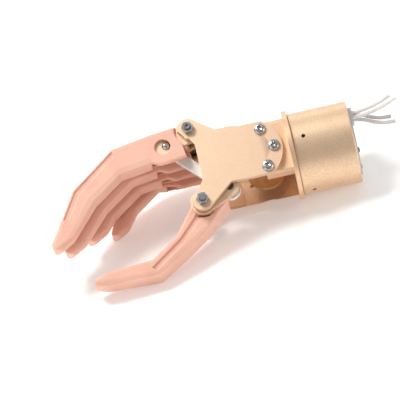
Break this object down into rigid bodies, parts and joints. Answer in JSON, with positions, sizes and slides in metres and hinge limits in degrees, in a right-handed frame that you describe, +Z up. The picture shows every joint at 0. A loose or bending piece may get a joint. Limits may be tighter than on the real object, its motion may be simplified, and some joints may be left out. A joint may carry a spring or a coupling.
{
  "type": "prosthetic hand",
  "caption": "Powered gripping prosthetic hand: metal palm frame, hinged moulded fingers and opposed thumb joined by a cross link, cylindrical wrist.",
  "frame": {"origin": "on the wrist axis, at mid length of the wrist tube", "axes": "+Z is up from the table the hand rests on, palm down; the forearm axis runs mostly along +X, with the wrist end at +X and the fingers towards -X, and the thumb towards -Y"},
  "size_m": [0.2226, 0.099, 0.0658],
  "materials": {
    "gold_aluminium": "bead-blasted, champagne gold anodised",
    "flesh_plastic": "satin, moulded",
    "nickel_steel": "nickel plated",
    "ground_steel": "ground",
    "silver_aluminium": "sandblasted",
    "black_plastic": "satin",
    "black_steel": "blackened",
    "white_plastic": "satin",
    "white_silicone": "soft, satin",
    "grey_silicone": "soft, satin",
    "bronze": "machined"
  },
  "bodies": {
    "wrist": {"wrist_tube": "gold_aluminium", "friction_ring": "white_plastic", "lock_screws": "black_steel", "rear_cap": "white_plastic", "cap_screws": "black_steel", "cable_grommet": "white_plastic", "power_leads": "white_silicone", "switch_leads": "grey_silicone"},
    "palm": {"palm_frame": "gold_aluminium", "retaining_ring": "ground_steel", "radial_plate": "gold_aluminium", "ulnar_plate": "gold_aluminium", "radial_plate_screws": "nickel_steel", "ulnar_plate_screws": "nickel_steel", "knuckle_axle": "nickel_steel", "knuckle_nuts": "nickel_steel", "knuckle_sleeves": "black_plastic", "thumb_axle": "nickel_steel", "thumb_nut": "nickel_steel", "thumb_sleeves": "black_plastic", "gearbox": "ground_steel", "motor": "ground_steel", "motor_screws": "nickel_steel", "gear_axle": "ground_steel", "gear_clip": "black_steel"},
    "drive_gear": {"crown_gear": "bronze", "crank_pin": "ground_steel"},
    "pinion": {"motor_shaft": "ground_steel", "motor_pinion": "bronze"},
    "index_finger": {"index_lever": "gold_aluminium", "index_shell": "flesh_plastic", "index_screws": "nickel_steel", "finger_drive_pin": "nickel_steel", "drive_pin_clip": "black_steel"},
    "middle_finger": {"middle_lever": "gold_aluminium", "middle_shell": "flesh_plastic", "middle_screws": "nickel_steel"},
    "ring_finger": {"ring_lever": "gold_aluminium", "ring_shell": "flesh_plastic", "ring_screws": "nickel_steel"},
    "little_finger": {"little_lever": "gold_aluminium", "little_shell": "flesh_plastic", "little_screws": "nickel_steel"},
    "thumb": {"thumb_lever": "gold_aluminium", "thumb_shell": "flesh_plastic", "thumb_screws": "nickel_steel", "thumb_link_pin": "black_steel"},
    "cross_link": {"cross_link": "silver_aluminium"},
    "drive_link": {"drive_link": "ground_steel"}
  },
  "joints": [
    {"name": "wrist_rotation", "type": "hinge", "parent": "wrist", "child": "palm", "pos_m": [-0.02016, 0, 0.00127], "axis": [0.998, 0, -0.0628], "range_deg": [-170, 170]},
    {"name": "grip", "type": "hinge", "parent": "palm", "child": "index_finger", "pos_m": [-0.07676, 0.01446, 0.02536], "axis": [0.0537, -0.5195, 0.8528], "range_deg": [-24, 6]},
    {"name": "middle_pivot", "type": "hinge", "parent": "palm", "child": "middle_finger", "pos_m": [-0.0773, 0.01965, 0.01684], "axis": [0.0537, -0.5195, 0.8528], "range_deg": [-24, 6]},
    {"name": "ring_pivot", "type": "hinge", "parent": "palm", "child": "ring_finger", "pos_m": [-0.07799, 0.02641, 0.00575], "axis": [0.0537, -0.5195, 0.8528], "range_deg": [-24, 6]},
    {"name": "little_pivot", "type": "hinge", "parent": "palm", "child": "little_finger", "pos_m": [-0.07874, 0.03368, -0.00619], "axis": [0.0537, -0.5195, 0.8528], "range_deg": [-24, 6]},
    {"name": "thumb_pivot", "type": "hinge", "parent": "palm", "child": "thumb", "pos_m": [-0.07908, -0.02353, -0.0035], "axis": [0.0537, -0.5195, 0.8528], "range_deg": [-5, 20]},
    {"name": "cross_link_pivot", "type": "hinge", "parent": "thumb", "child": "cross_link", "pos_m": [-0.06108, -0.02109, 0.00389], "axis": [0.0537, -0.5195, 0.8528], "range_deg": [-22, 6]},
    {"name": "gear_turn", "type": "hinge", "parent": "palm", "child": "drive_gear", "pos_m": [-0.03757, 0.00081, -0.00476], "axis": [0.0537, -0.5195, 0.8528], "range_deg": [-9, 34]},
    {"name": "drive_link_pivot", "type": "hinge", "parent": "drive_gear", "child": "drive_link", "pos_m": [-0.03821, 0.00928, -0.00484], "axis": [0.0537, -0.5195, 0.8528], "range_deg": [-42, 11]},
    {"name": "pinion_turn", "type": "hinge", "parent": "palm", "child": "pinion", "pos_m": [-0.02589, 0.00367, -0.01021], "axis": [0.998, 0, -0.0628], "range_deg": [-100, 26]}
  ],
  "couplings": [
    {"joint": "middle_pivot", "follows": "grip", "ratio": 1},
    {"joint": "ring_pivot", "follows": "grip", "ratio": 1},
    {"joint": "little_pivot", "follows": "grip", "ratio": 1},
    {"joint": "thumb_pivot", "follows": "grip", "ratio": -0.8},
    {"joint": "cross_link_pivot", "follows": "grip", "ratio": 0.881},
    {"joint": "gear_turn", "follows": "grip", "ratio": -1.372},
    {"joint": "drive_link_pivot", "follows": "grip", "ratio": 1.715},
    {"joint": "pinion_turn", "follows": "grip", "ratio": 4.116}
  ]
}
